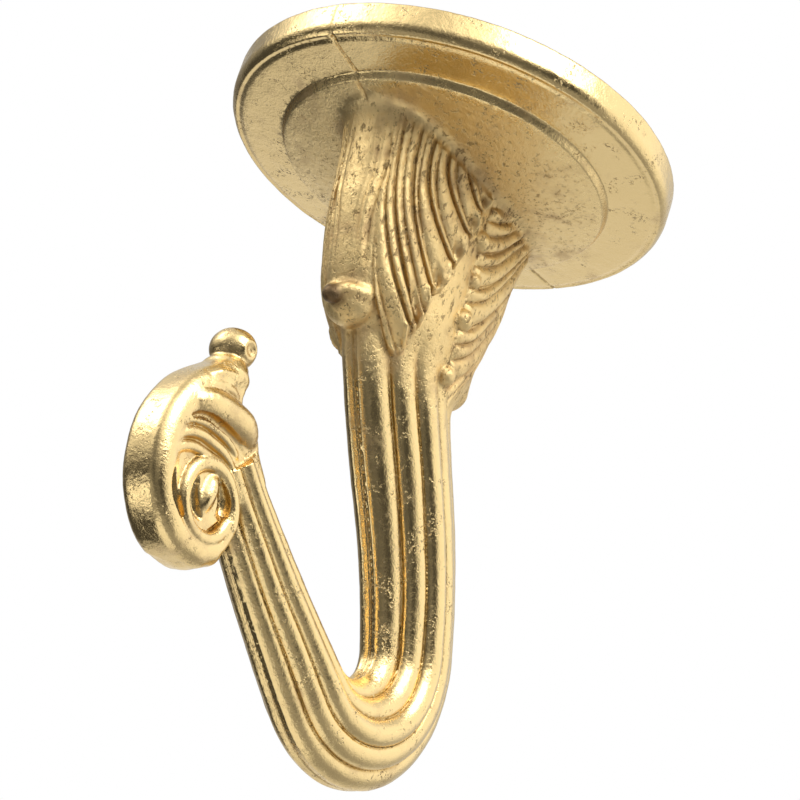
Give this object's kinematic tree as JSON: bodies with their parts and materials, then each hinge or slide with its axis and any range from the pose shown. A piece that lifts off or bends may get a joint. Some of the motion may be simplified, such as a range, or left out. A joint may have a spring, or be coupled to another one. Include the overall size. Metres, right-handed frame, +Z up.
{
  "type": "swag hook",
  "caption": "Cast swag hook in a bright brass finish: stepped round disc, acanthus-leaf stem, reeded J hook and a scroll tip with a ball, screwed to a ceiling.",
  "frame": {"origin": "centre of the disc's flat back face, on the axis of the tapped hole", "axes": "+Z up into the ceiling, out of the tapped hole; +X from the stem towards the hook's tip; the hook hangs below the origin in the plane y = 0"},
  "size_m": [0.0434, 0.0382, 0.0563],
  "materials": {
    "brass": "bright brass plating, worn and slightly tarnished"
  },
  "bodies": {
    "root": {"hook": "brass"}
  },
  "joints": []
}
